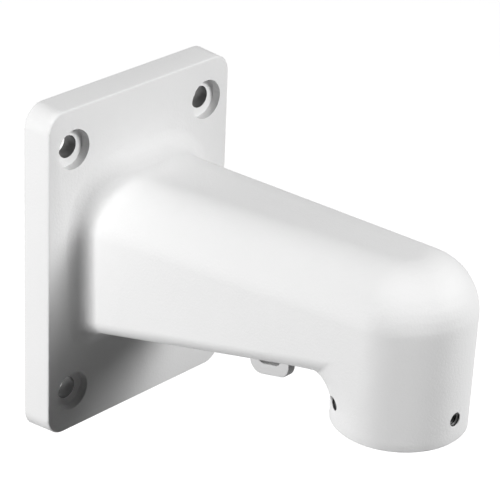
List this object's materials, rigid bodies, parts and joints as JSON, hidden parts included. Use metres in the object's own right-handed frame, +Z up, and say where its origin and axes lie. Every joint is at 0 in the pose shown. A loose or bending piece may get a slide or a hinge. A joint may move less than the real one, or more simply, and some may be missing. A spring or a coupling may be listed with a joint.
{
  "type": "camera wall bracket",
  "caption": "White cast aluminium wall bracket for a hanging camera, with a hollow arm, a socket that faces down and a safety-rope loop.",
  "frame": {"origin": "on the wall, at the centre of the plate's outline, on the line through the middle of its four screw holes", "axes": "+X along the wall to the right seen from the room, -Y out of the wall along the arm, +Z up"},
  "size_m": [0.116, 0.1995, 0.16],
  "materials": {
    "powder_coat": "satin white powder coat on cast aluminium"
  },
  "bodies": {
    "root": {"bracket_casting": "powder_coat"}
  },
  "joints": []
}
